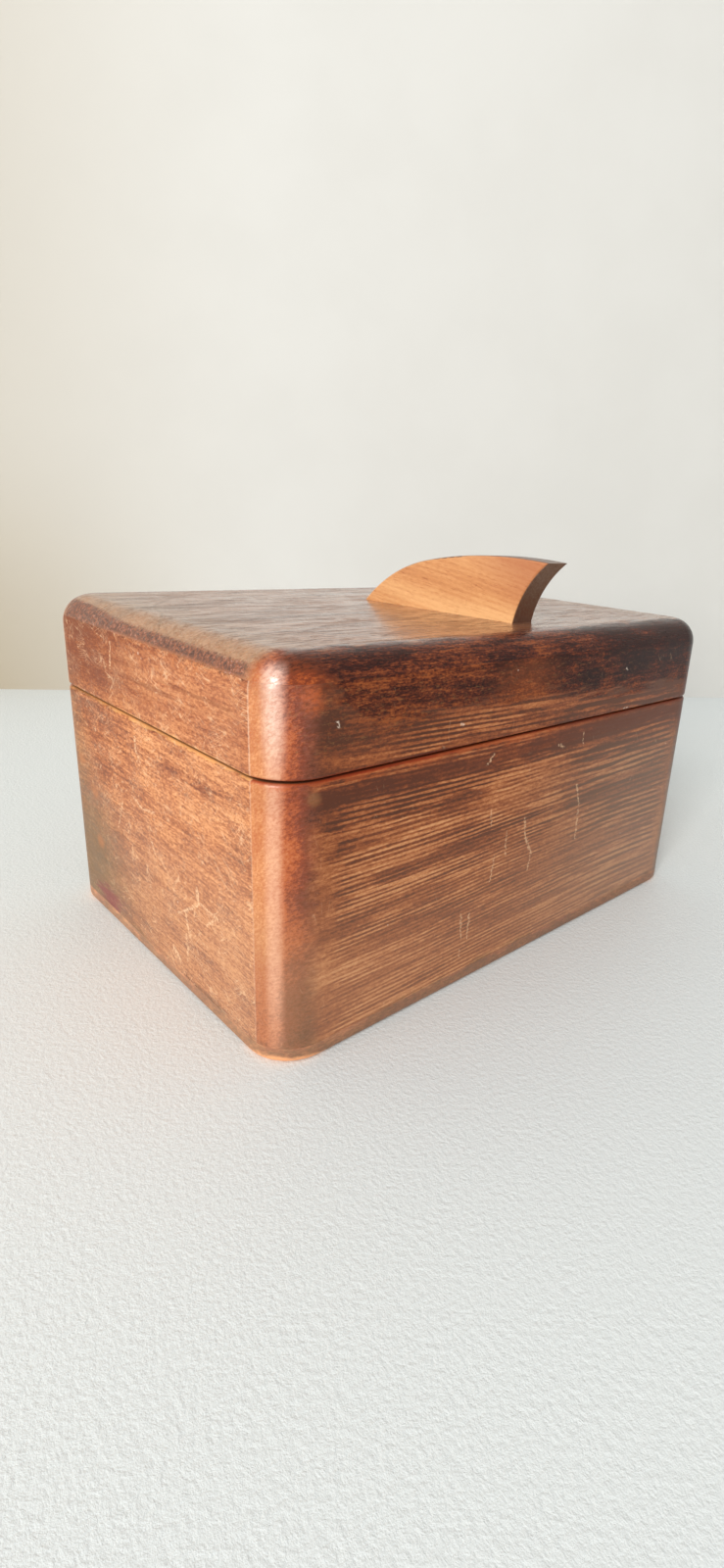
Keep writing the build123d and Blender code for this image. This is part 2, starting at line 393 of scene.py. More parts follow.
def make_inside():
    """1 where a board shows its inner side, and 1 where it shows its rim at the seam."""
    n, source = new_group("inside of the box", Vector=(0, 0, 0))
    x, y, z = n.split(source["Vector"])
    room = n.times(
        n.maths("LESS_THAN", n.size(x), INNER_LENGTH + TOUCH),
        n.maths("LESS_THAN", n.size(y), INNER_DEPTH + TOUCH),
        n.maths("GREATER_THAN", z, BOTTOM_TOP - TOUCH),
        n.maths("LESS_THAN", z, PANEL_UNDER + TOUCH),
    )
    return give_out(n, Room=room, Rim=n.maths("LESS_THAN", n.away(z, SEAM), LID_RIM - SEAM + 0.02))


GRAIN = make_grain()
STREAKS = make_streaks()
MOTTLE = make_mottle()
WEAR = make_wear()
SCRATCHES = make_scratches()
SPECKS = make_specks()
STROKE = make_stroke()
LID_STAIN = make_lid_stain()
INSIDE = make_inside()


def new_finish(name):
    """An empty material, as its nodes and its surface shader."""
    made = bpy.data.materials.new(name)
    made.use_nodes = True
    nodes = Nodes(made.node_tree)
    return made, nodes, made.node_tree.nodes["Principled BSDF"]


def finish(nodes, surface, base, roughness, height, depth):
    """Joins a finish's colour, roughness and relief (depth in millimetres) to its surface."""
    nodes.feed(surface.inputs["Base Color"], base)
    nodes.feed(surface.inputs["Roughness"], roughness)
    bump = nodes.add("ShaderNodeBump", {"Height": height, "Strength": 1.0, "Distance": depth / MM})
    nodes.feed(surface.inputs["Normal"], bump.outputs[0])


def varnish(n, surface, weight, roughness):
    """A clear coat over the finish."""
    n.feed(surface.inputs["Coat Weight"], weight)
    surface.inputs["Coat Roughness"].default_value = roughness


def stretch_gloss(surface, level):
    """Highlights on the walls are drawn out upwards and downwards, across the grain."""
    surface.inputs["Specular IOR Level"].default_value = level
    surface.inputs["Anisotropic"].default_value = 0.85
    surface.inputs["Anisotropic Rotation"].default_value = 0.25


def worn_line(n, vector, distance, reach, breakup, scale):
    """A worn line, by the distance from its edge, its reach, and how much and how finely it breaks."""
    line = n.group(WEAR, Vector=vector, Distance=distance, Reach=reach, Breakup=breakup, Scale=scale)
    return line["Mask"]


def specks(n, point, pitch, radius, amount):
    """Specks about a pitch apart, of which only an amount (0 to 1) shows."""
    return n.group(SPECKS, Vector=point, Pitch=pitch, Radius=radius, Amount=amount)["Mask"]


def strokes(n, face, lines):
    """Scratches on a flat face, given one by one, each (start, end, width) in its two coordinates."""
    total = 0.0
    for start, end, width in lines:
        stroke = n.group(STROKE, Vector=face, Start=(*start, 0), End=(*end, 0), Width=width)
        total = n.larger(stroke["Mask"], total)
    return total


def from_middle(n, face, centre, size):
    """How far out a place on a flat face is from a centre, as a share of an oval's half size."""
    shape = n.vector("DIVIDE", n.vector("SUBTRACT", face, (*centre, 0)), (*size, 1))
    return n.vector("LENGTH", shape, output="Value")


def patch(n, face, centre, size, soft=0.7):
    """A soft oval patch on a flat face: 1 inside, easing to 0 over its soft edge."""
    ragged = n.noise(n.stretch(face, 0.5, 0.5, 0.5), detail=3, roughness=0.6)
    away = n.add_up(from_middle(n, face, centre, size), n.centre(ragged))
    return n.fade(away, 1.0 - soft, 1.0 + soft)


def glue_line(n, y, z, mottle):
    """The pale joint between the front board's end grain and the end board, plainer on the lid."""
    away = n.away(n.size(y), INNER_DEPTH)
    shown = n.times(n.fade(away, 0.06, 0.3), n.ease(mottle, 0.35, 0.55, 0.4, 1.0))
    return n.times(shown, n.ease(z, SEAM - 8, SEAM + 2, 0.25, 0.6))


def bare_inside(n, point, outside):
    """The outside's colour, with bare wood on the inner sides and red-brown rims in its place."""
    inside = n.group(INSIDE, Vector=point)
    x, y, z = n.split(point)
    grain = n.group(GRAIN, Vector=n.with_grain(x, z, y, 0.6), Pitch=1.6)
    wood = n.shades(grain["Bands"], {0.3: BARE_DARK, 0.65: BARE_WOOD})
    wood = n.mix(n.ease(grain["Ribs"], 0.4, 0.8, 0.35, 0.0), wood, BARE_DARK)
    wood = n.mix(n.ease(grain["Pores"], 0.55, 0.75, 0.0, 0.5), wood, BARE_DARK)
    rim_wood = n.mix(n.ease(grain["Bands"], 0.3, 0.65), RIM_DARK, RIM_WOOD)
    from_x = n.less(HALF_LENGTH, n.size(x))
    from_y = n.less(HALF_DEPTH, n.size(y))
    rim_wood = n.mix(n.ease(from_y, 0.5, 1.6, 0.6, 0.0), rim_wood, SEAM_RED)
    # Painted glint: pale gold on the ends' rims at their outer edge, which lightens the seam's gap
    rim_wood = n.mix(n.ease(from_x, 0.5, 1.6, 0.6, 0.0), rim_wood, SEAM_GLINT_GOLD)
    return n.mix(inside["Rim"], n.mix(inside["Room"], outside, wood), rim_wood)


# Scratches that the photograph shows, in millimetres on their own face: front (X, Z), left end (Y, Z)
FRONT_SCRATCHES = [
    ((16.5, 43.4), (18.7, 36.8), 0.45),
    ((18.7, 36.8), (18.8, 27.2), 0.5),
    ((16.6, 57.5), (17.2, 54.1), 0.35),
    ((-17.0, 44.0), (-16.3, 39.6), 0.35),
    ((-3.8, 38.5), (-3.1, 33.0), 0.5),
    ((-3.1, 33.5), (-0.1, 28.3), 0.55),
    ((-0.1, 28.3), (-0.8, 23.6), 0.4),
    ((-10.5, 37.0), (-10.3, 30.5), 0.4),
    ((-14.3, 31.5), (-15.1, 24.5), 0.45),
    ((-24.6, 19.2), (-24.0, 12.5), 0.45),
    ((-21.7, 18.2), (-21.8, 11.8), 0.45),
    ((-24.4, 9.6), (-24.0, 7.6), 0.35),
    ((6.5, 55.8), (8.6, 54.8), 0.5),
    ((-19.6, 55.4), (-17.6, 57.4), 0.4),
]
FRONT_FLECKS = [
    ((-61.4, 71.0), (-61.2, 70.2), 0.65),
    ((-69.0, 67.9), (-69.0, 67.5), 0.5),
    ((-68.5, 52.1), (-67.8, 52.0), 0.45),
    ((-28.9, 66.2), (-28.2, 66.0), 0.4),
    ((33.0, 72.3), (33.3, 72.0), 0.4),
    ((34.2, 61.6), (36.0, 61.4), 0.35),
]
LEFT_SCRATCHES = [
    ((-21.9, 29.0), (-22.4, 26.0), 1.1),
    ((-22.4, 26.2), (-30.6, 25.9), 0.55),
    ((-30.6, 25.9), (-25.6, 22.2), 0.45),
    ((-22.0, 25.6), (-16.2, 21.6), 0.6),
    ((-16.2, 21.6), (-12.2, 19.2), 0.5),
    ((-15.8, 21.0), (-17.1, 15.9), 0.6),
    ((-15.6, 15.4), (-15.8, 10.2), 0.5),
    ((-9.0, 8.6), (-11.5, 7.0), 1.3),
    ((14.4, 76.2), (15.7, 70.0), 0.5),
    ((14.8, 37.7), (18.8, 29.4), 0.4),
    ((34.6, 61.2), (27.0, 60.9), 0.4),
    ((4.8, 56.4), (4.8, 53.4), 0.7),
    ((4.8, 53.4), (2.7, 50.9), 0.5),
    ((8.1, 41.0), (3.5, 39.5), 0.5),
    ((3.5, 39.5), (-3.0, 40.5), 0.5),
    ((0.0, 33.0), (-2.0, 30.0), 0.6),
]
# Brown streaks along the grain of the lid's ends (Y, Z): middle, half size
LID_END_STREAKS = [
    ((36.0, 75.6), (12.0, 0.8)),
    ((20.0, 72.4), (18.0, 0.6)),
    ((24.0, 67.6), (20.0, 0.8)),
    ((-4.0, 69.6), (20.0, 0.6)),
    ((-26.0, 72.0), (16.0, 0.5)),
]
# The dark crack in the top, left end (X, Y)
TOP_CRACK = [
    ((-54.6, 27.6), (-63.0, 17.5), 0.5),
    ((-63.0, 17.5), (-66.3, 7.6), 0.6),
    ((-66.9, 4.4), (-72.9, -6.4), 0.5),
    ((-66.3, 7.6), (-60.5, 1.0), 0.4),
]


def feathered_patches(n, face, places):
    """Soft patches with edges feathered along the grain, each (centre, size) on a flat face."""
    feather = n.noise(n.stretch(face, 0.09, 0.9, 1.0), detail=5, roughness=0.65)
    feather = n.swing(feather, 3.2)
    total = 0.0
    for centre, size in places:
        away = n.add_up(from_middle(n, face, centre, size), feather)
        total = n.larger(n.fade(away, 0.5, 1.2), total)
    return total


def lit_and_shaded(n, face, tone, patches, bands):
    """A wall's tone made lighter or darker in its patches and level bands."""
    for centre, size, amount in patches:
        tone = n.add_up(tone, n.times(patch(n, face, centre, size), amount))
    for height, full, gone, amount in bands:
        tone = n.add_up(tone, n.ease(n.away(n.split(face)[1], height), full, gone, amount, 0.0))
    return tone


def stained_lid(n, point, base):
    """The lid's dark stain and red rounding over a finish's colour."""
    stain = n.group(LID_STAIN, Vector=point)
    x, y, z = n.split(point)
    base = n.mix(n.times(stain["Red"], n.ease(x, -74.0, -66.0, 0.3, 0.9)), base, LID_RED)
    in_front = n.ease(y, 0.0, 20.0, 0.93, 0.45)
    brown = n.shades(stain["Shade"], {0.2: DEEP_STAIN, 0.42: STAIN, 0.62: LID_RED, 0.85: MID_WOOD})
    base = n.mix(n.times(stain["Stain"], in_front), base, brown)
    bits = n.noise(n.stretch(n.with_grain(x, z, y), 0.55, 1.7, 1.7), detail=4, roughness=0.8)
    bits = n.times(n.ease(bits, 0.57, 0.64), n.ease(z, 63.0, 67.0), n.ease(z, 81.0, 76.0, 0.3, 1.0))
    bits = n.times(bits, n.ease(x, 10.0, 60.0, 1.0, 0.4))
    return n.mix(n.times(bits, in_front, 0.42), base, OLIVE_SPOT)


def foot_dirt(n, point, base):
    """Grey-brown dirt along the foot of the walls, with a ragged upper edge."""
    mask = worn_line(n, n.stretch(point, 0.25, 0.25, 1.0), n.split(point)[2], 4.6, 0.45, 0.5)
    grit = n.noise(n.stretch(point, 0.5, 0.5, 1.2), detail=4, roughness=0.75)
    return n.mix(n.times(mask, n.ease(grit, 0.35, 0.65, 0.75, 0.35)), base, FOOT_DIRT)


def grey_dirt(n, point, base):
    """Grey dirt low down at the back of the left end, round into the corner."""
    x, y, z = n.split(point)
    face = n.join(y, z, 0.0)
    dirt = n.times(patch(n, face, (46.0, 34.0), (12.0, 24.0)), 0.7)
    dirt = n.larger(patch(n, face, (41.0, 16.0), (19.0, 20.0)), dirt)
    return n.mix(n.times(dirt, n.ease(x, -60.0, -70.0), 0.72), base, GREY_DIRT)


def corner_highlight(n, x, z, round_by, mottle):
    """Painted highlight: a pale streak down the middle of a rounded corner, where the lamp's highlight
    falls, strongest on the left corners.
    """
    off_centre = n.size(n.add_up(round_by, n.ease(z, 44.0, 62.0, 1.6, 1.1)))
    painted_highlight = n.ease(off_centre, 0.6, n.ease(z, 58.0, 70.0, 3.4, 4.2), 0.54, 0.0)
    painted_highlight = n.times(painted_highlight, n.ease(mottle, 0.35, 0.6, 0.6, 1.1))
    return n.times(painted_highlight, n.ease(x, 0.0, 20.0, 1.0, 0.2))


# Darker feathered streaks on the front, in millimetres (X, Z): middle, half size
FRONT_STREAKS = [
    ((-29.0, 36.6), (25.0, 2.4)),
    ((-44.0, 21.6), (23.0, 2.8)),
    ((-60.0, 28.0), (10.0, 2.0)),
    ((-56.0, 45.0), (9.0, 1.6)),
    ((-28.0, 47.6), (12.0, 1.2)),
    ((2.0, 24.5), (22.0, 1.2)),
    ((41.0, 38.0), (25.0, 4.6)),
    ((40.0, 23.6), (24.0, 2.8)),
    ((8.0, 12.5), (24.0, 1.2)),
]
# Lighter (+) and darker (-) places of the front (X, Z) and the ends (Y, Z): middle, half size, amount
FRONT_PATCHES = [
    ((-14.0, 64.5), (20.0, 2.5), 0.12),
    ((-50.0, 64.5), (11.0, 2.5), -0.12),
    ((-46.0, 10.0), (14.0, 9.0), 0.08),
    ((12.0, 33.5), (18.0, 6.0), -0.15),
    ((-16.0, 51.0), (22.0, 4.0), -0.08),
    ((-11.0, 43.5), (9.0, 4.0), 0.14),
    ((-28.0, 48.0), (8.0, 4.0), -0.1),
    ((-11.0, 68.5), (20.0, 2.5), -0.08),
    ((34.0, 44.0), (28.0, 8.0), -0.1),
    ((55.0, 46.0), (9.0, 26.0), -0.08),
    ((36.0, 31.0), (28.0, 3.0), -0.08),
]
END_PATCHES = [((-24.0, 25.0), (12.0, 5.0), -0.1)]
# Level bands on them: height, how far from it they are full and gone, amount
FRONT_BANDS = [(21.2, 1.0, 3.0, -0.06), (26.3, 1.0, 3.0, 0.05), (54.0, 3.0, 8.0, -0.07)]
END_BANDS = [(57.0, 2.0, 7.0, -0.08), (25.5, 1.5, 4.5, -0.08)]
# Heights of the dark line under the base's upper arris, and of the end grain under the lid's top edge
UNDER_ARRIS = 56.4
UNDER_TOP_EDGE = 79.6

# Colours of the smooth rounded corners, from the darkest to the palest
CORNER_STOPS = {
    0.05: DARK_WOOD, 0.18: BROWN_WOOD, 0.32: RED_DARK, 0.48: RED_WOOD, 0.72: LIGHT_WOOD, 0.92: PALE_WOOD,
}


def long_wall_finish():
    """Front and back boards: ribs along X, dark stain on the lid, worn edges, smooth corners."""
    made, n, surface = new_finish("stained long-grain wood")
    point = n.position()
    x, y, z = n.split(point)
    face = n.join(x, z, 0.0)
    lengthwise = n.with_grain(x, z, y)
    grain = n.group(GRAIN, Vector=lengthwise, Pitch=1.05)
    broader = n.group(GRAIN, Vector=lengthwise, Pitch=1.8)["Ribs"]
    to_right = n.ease(n.add_up(x, n.times(z, 0.5)), 0.0, 50.0, 0.0, 0.85)
    rib_wave = n.add_up(grain["Ribs"], n.times(n.less(broader, grain["Ribs"]), to_right))
    fine, gritty, cloudy = n.group(MOTTLE, Vector=lengthwise)
    ragged = n.swing(n.noise(n.stretch(face, 0.1, 0.7, 1.0), detail=4, roughness=0.6), 20.0)
    middle = n.fade(n.add_up(n.size(x), ragged), FLAT_LENGTH - 6, FLAT_LENGTH - 1)
    corner = n.ease(n.add_up(n.size(x), n.times(ragged, 0.15)), FLAT_LENGTH - 1, FLAT_LENGTH + 4)

    # Thin dark ribs on paler wood, under feathered dark streaks
    streaks = n.group(STREAKS, Vector=lengthwise, Pitch=8.0, Amount=0.45)["Mask"]
    streaks = n.larger(n.times(streaks, 0.7), feathered_patches(n, face, FRONT_STREAKS))
    under_arris = n.away(z, UNDER_ARRIS)
    under_arris = worn_line(n, n.stretch(point, 0.12, 1.0, 1.0), under_arris, 2.6, 0.5, 0.5)
    under_arris = n.times(under_arris, n.ease(x, 0.0, 40.0, 1.0, 0.25))
    on_lid = n.ease(z, SEAM - 0.5, SEAM + 0.5)
    ribbed = n.times(n.flip(n.times(n.larger(streaks, under_arris), 0.7)), middle)
    ribbed = n.times(ribbed, n.ease(x, 0.0, 66.0, 1.0, 0.85), n.ease(z, 5.0, 36.0, 0.7, 1.0))
    plain_lid = n.times(on_lid, n.larger(n.ease(z, 67.0, 72.0), n.ease(x, -38.0, -52.0)))
    ribbed = n.times(ribbed, n.flip(n.times(plain_lid, 0.75)))
    ribs = n.times(n.ease(rib_wave, 0.28, 0.66, -0.36, 0.13), n.ease(x, 6.0, 40.0, 1.0, 1.9))
    below_seam = n.times(n.ease(z, 53.0, 58.0), n.flip(on_lid))
    # Painted shade: a darker band just right of the near corner, in the wall's upper part
    shade_beside_corner = n.add_up(x, ragged)
    shade_beside_corner = n.times(n.ease(shade_beside_corner, -68.0, -65.0), n.fade(shade_beside_corner, -62.0, -54.0))
    tone = n.add_up(
        n.centre(grain["Bands"]), n.swing(fine, 0.8), n.swing(gritty, 0.5), n.swing(cloudy, 0.35), 0.58,
        n.times(ribs, n.add_up(ribbed, 0.1)),
        n.times(n.ease(grain["Pores"], 0.56, 0.75), -0.15),
        n.times(streaks, -0.2),
        n.times(under_arris, -0.3),
        n.times(on_lid, -0.3),
        n.times(n.ease(x, 0.0, 34.0), n.ease(z, 26.0, 48.0), -0.17),
        n.times(n.ease(x, -20.0, -60.0), n.ease(z, 34.0, 14.0, 0.0, 0.1)),
        n.times(below_seam, n.ease(x, 12.0, 32.0, -0.08, -0.38)),
        n.times(shade_beside_corner, n.ease(z, 26.0, 40.0, -0.03, -0.12)),
    )
    tone = lit_and_shaded(n, face, tone, FRONT_PATCHES, FRONT_BANDS)
    stops = {0.03: DARK_WOOD, 0.2: BROWN_WOOD, 0.4: MID_WOOD, 0.62: LIGHT_WOOD, 0.85: PALE_WOOD}
    base = n.shades(tone, stops)

    # Dust greys it low down and towards the right
    dust = n.times(n.ease(x, -25.0, 45.0, 0.04, 0.4), n.ease(z, 59.0, 44.0))
    base = n.mix(n.times(dust, n.ease(cloudy, 0.3, 0.7, 0.8, 1.15)), base, OLIVE_DUST)
    pale_dust = n.add_up(n.ease(z, 8.0, 50.0, 0.3, 0.07), n.ease(x, -20.0, 30.0, 0.0, 0.06))
    base = n.mix(pale_dust, base, DUSTY_WOOD)

    # Smooth, redder corners, where the board's end grain is rounded
    round_by = n.less(n.less(n.size(y), FLAT_DEPTH), n.less(n.size(x), FLAT_LENGTH))
    tone = n.add_up(
        n.swing(fine, 0.6), n.swing(gritty, 0.4), n.swing(cloudy, 0.6), 0.72,
        n.ease(round_by, -2.5, 3.0, 0.0, -0.3),
        n.ease(x, -20.0, 20.0, 0.0, -0.2),
        n.ease(z, 34.0, 14.0, 0.0, -0.03),
        n.ease(z, 30.0, 10.0, 0.0, -0.24),
        # The same painted shade on the front side of the corners
        n.times(n.ease(round_by, 3.0, 8.0), n.ease(z, 26.0, 40.0, -0.04, -0.2)),
    )
    corner_wood = n.shades(tone, CORNER_STOPS)
    corner_wood = n.mix(n.ease(z, 20.0, 44.0, 0.34, 0.0), corner_wood, OLIVE_WOOD)
    corner_wood = n.mix(n.times(dust, 0.8), corner_wood, OLIVE_DUST)
    # Painted highlight down the corners, whiter on the lid
    painted_highlight = n.times(corner_highlight(n, x, z, round_by, fine), n.ease(z, 4.0, 20.0, 0.35, 1.0))
    highlight_wood = n.mix(n.ease(z, 60.0, 72.0, 0.0, 0.8), HIGHLIGHT_PALE, LID_HIGHLIGHT_PALE)
    corner_wood = n.mix(painted_highlight, corner_wood, highlight_wood)
    base = n.mix(n.times(corner, 0.95), base, corner_wood)
    base = n.mix(glue_line(n, y, z, fine), base, GLUE)

    # Redder wood below the seam, the lid's stain, two small worn places at the left, and dirt
    reddened = n.times(n.ease(z, 53.0, 57.0), n.flip(on_lid))
    base = n.mix(n.times(reddened, n.ease(x, -70.0, 0.0, 0.12, 0.2)), base, RED_DARK)
    base = stained_lid(n, point, base)
    base = n.mix(n.times(patch(n, face, (-8.0, 74.0), (10.0, 4.5)), 0.28), base, MID_WOOD)
    worn = patch(n, face, (-66.6, 75.8), (1.9, 2.6))
    base = n.mix(n.times(worn, n.ease(fine, 0.4, 0.6, 0.35, 0.8)), base, WORN_ORANGE)
    base = n.mix(n.times(patch(n, face, (-66.3, 57.2), (1.3, 1.3), 0.5), 0.45), base, OLIVE_SPOT)
    base = foot_dirt(n, point, grey_dirt(n, point, base))

    # Worn orange arris below the seam, thin on the lid, and dark red on the very edges
    below_rim = n.maths("GREATER_THAN", RIM + TOUCH, z)
    worn = worn_line(n, n.stretch(point, 0.3, 1.0, 1.0), n.away(RIM, z), 1.0, 1.4, 0.6)
    worn = n.times(worn, n.add_up(n.times(below_rim, 0.35), 0.05), n.ease(x, -20.0, 24.0, 1.0, 0.15))
    base = n.mix(worn, base, WORN_ORANGE)
    lip = n.fade(n.away(z, SEAM), 0.35, 0.8)
    lip = n.times(lip, n.ease(cloudy, 0.35, 0.6, 0.3, 0.8))
    base = n.mix(n.times(lip, n.ease(x, -40.0, 10.0, 0.9, 0.3)), base, LIP_RED)

    # Scratches and specks
    front = n.maths("LESS_THAN", y, SKIN - HALF_DEPTH)
    marks = n.times(strokes(n, face, FRONT_SCRATCHES), front)
    steep = n.group(SCRATCHES, Vector=face, Angle=radians(80), Pitch=2.2, Amount=0.45)["Mask"]
    marks = n.larger(marks, n.times(steep, 0.35))
    base = n.mix(n.times(marks, 0.65), base, PALE_SCRATCH)
    flecks = n.times(specks(n, point, 6.0, 0.3, 0.16), 0.6)
    flecks = n.larger(flecks, n.times(strokes(n, face, FRONT_FLECKS), front, 0.85))
    base = n.mix(flecks, base, PALE_FLECK)

    base = bare_inside(n, point, base)
    roughness = n.ease(cloudy, 0.3, 0.7, 0.36, 0.52)
    height = n.add_up(n.times(grain["Ribs"], ribbed, 0.8), n.times(fine, 0.25))
    finish(n, surface, base, roughness, height, 0.1)

    # A glossy clear coat on the corners, and a thin haze of it towards the right
    haze = n.times(n.ease(x, -10.0, 60.0, 0.0, 0.34), n.ease(z, 60.0, 42.0, 0.45, 1.0))
    glossy = n.times(corner, n.ease(x, 0.0, 20.0, 1.0, 0.3), n.ease(z, 60.0, 72.0, 1.0, 1.5))
    glossy = n.times(glossy, n.ease(gritty, 0.35, 0.65, 0.4, 0.9))
    varnish(n, surface, n.larger(glossy, haze), 0.3)
    stretch_gloss(surface, 0.14)
    return made


def end_wall_finish():
    """End boards: bright orange brown, finely mottled and scratched, with grain along Y."""
    made, n, surface = new_finish("stained end boards")
    point = n.position()
    x, y, z = n.split(point)
    face = n.join(y, z, 0.0)
    lengthwise = n.with_grain(y, z, x)
    grain = n.group(GRAIN, Vector=lengthwise, Pitch=1.9, Wander=9.0)
    fine, gritty, cloudy = n.group(MOTTLE, Vector=lengthwise)
    grit = n.group(MOTTLE, Vector=face, Size=0.55)["Fine"]
    streaks = n.group(STREAKS, Vector=lengthwise, Pitch=6.0, Amount=0.35)["Mask"]
    threads = n.noise(n.stretch(face, 0.09, 1.3, 1.0), detail=5, roughness=0.7)
    tone = n.add_up(
        n.swing(grain["Bands"], 0.9), n.swing(fine, 1.8), n.swing(gritty, 0.7), n.swing(cloudy, 0.8), 0.63,
        n.swing(grit, 1.3),
        n.swing(threads, 1.3),
        n.times(streaks, -0.18),
        n.ease(grain["Ribs"], 0.25, 0.75, -0.05, 0.05),
        n.times(n.ease(grain["Pores"], 0.53, 0.7), -0.2),
        n.ease(y, -6.0, 34.0, 0.0, -0.24),
        n.ease(z, 73.0, 77.0, 0.0, -0.1),
        n.times(n.ease(y, -36.0, -43.0), n.ease(z, 62.0, 68.0, -0.08, -0.16)),
        n.times(n.ease(z, 64.0, 70.0), n.ease(y, 8.0, 34.0, 0.0, -0.26)),
    )
    tone = lit_and_shaded(n, face, tone, END_PATCHES, END_BANDS)
    base = n.shades(tone, {0.1: BROWN_WOOD, 0.34: MID_WOOD, 0.6: LIGHT_WOOD, 0.9: PALE_WOOD})

    # The lid a little redder, dust low down and towards the front, and brown streaks on the lid
    on_lid = n.ease(z, SEAM - 2, SEAM + 6)
    redder = n.shades(fine, {0.35: RED_DARK, 0.6: RED_WOOD})
    base = n.mix(n.times(on_lid, n.ease(y, -20.0, 30.0, 0.3, 0.12)), base, redder)
    dust = n.times(n.ease(z, 8.0, 44.0, 0.26, 0.0), n.ease(y, -10.0, 14.0, 0.9, 1.5))
    base = n.mix(dust, base, OLIVE_DUST)
    pale_dust = n.add_up(n.ease(z, 24.0, 56.0, 0.2, 0.06), n.ease(y, -18.0, -44.0, 0.0, 0.1))
    base = n.mix(pale_dust, base, DUSTY_WOOD)
    brown = n.times(on_lid, n.ease(threads, 0.36, 0.58), n.ease(y, -20.0, 20.0, 0.12, 0.5))
    base = n.mix(brown, base, BROWN_WOOD)
    base = n.mix(n.times(feathered_patches(n, face, LID_END_STREAKS), 0.42), base, BROWN_WOOD)

    # Dark speckled end grain under the top edge, and bright worn arrises at the seam with painted glints
    # on them
    speckled = worn_line(n, point, n.away(z, UNDER_TOP_EDGE), 1.3, 0.9, 0.9)
    base = n.mix(n.times(speckled, 0.8), base, DARK_WOOD)
    gap = n.away(z, SEAM)
    reach = n.ease(n.away(y, -8.0), 18.0, 34.0, 0.75, 0.5)
    worn = worn_line(n, n.stretch(point, 1.0, 0.45, 1.0), gap, reach, 0.7, 0.7)
    base = n.mix(n.times(worn, n.ease(y, 14.0, 40.0, 0.5, 0.2)), base, WORN_GOLD_GLINT)
    broken = n.ease(n.noise(n.stretch(face, 0.16, 0.1, 1.0), detail=2), 0.42, 0.56, 0.1, 0.85)
    seam_glint = n.times(n.fade(gap, 0.3, 0.6), n.ease(y, 8.0, 30.0, 1.0, 0.4), broken)
    base = n.mix(n.times(seam_glint, n.ease(fine, 0.4, 0.6, 0.7, 0.15)), base, SEAM_GLINT_GOLD)
    base = n.mix(glue_line(n, y, z, fine), base, GLUE)

    # Scratches and specks
    left = n.maths("LESS_THAN", x, 0.0)
    marks = n.times(strokes(n, face, LEFT_SCRATCHES), left)
    for angle, amount in ((-20, 0.9), (38, 0.8), (-62, 0.7)):
        crossing = n.group(SCRATCHES, Vector=face, Angle=radians(angle), Pitch=0.9, Amount=amount)["Mask"]
        marks = n.larger(marks, n.times(crossing, 0.6))
    base = n.mix(n.times(marks, 0.85), base, PALE_SCRATCH)
    base = n.mix(n.times(specks(n, point, 4.0, 0.35, 0.2), 0.5), base, PALE_FLECK)

    # Dirt, three bare spots in it, and a pink stain and two dark nicks low on the left end
    base = grey_dirt(n, point, base)
    for spot in ((32.5, 34.8), (31.7, 21.2), (39.5, 41.7)):
        base = n.mix(n.times(patch(n, face, spot, (2.0, 1.6), 0.6), left, 0.4), base, LIGHT_WOOD)
    base = foot_dirt(n, point, base)
    pink = n.times(feathered_patches(n, face, [((29.0, 6.2), (8.5, 2.8))]), left)
    base = n.mix(n.times(pink, 0.6), base, PINK_STAIN)
    nicks = strokes(n, face, [((-14.6, 4.2), (-16.0, 3.6), 0.5), ((-19.0, 3.8), (-19.9, 3.0), 0.45)])
    base = n.mix(n.times(nicks, left), base, DARK_WOOD)

    base = bare_inside(n, point, base)
    roughness = n.ease(cloudy, 0.3, 0.7, 0.38, 0.52)
    height = n.add_up(n.times(fine, 0.4), n.times(marks, -0.3))
    finish(n, surface, base, roughness, height, 0.08)
    varnish(n, surface, n.ease(y, -20.0, 26.0, 0.16, 0.0), 0.25)
    stretch_gloss(surface, 0.12)
    return made


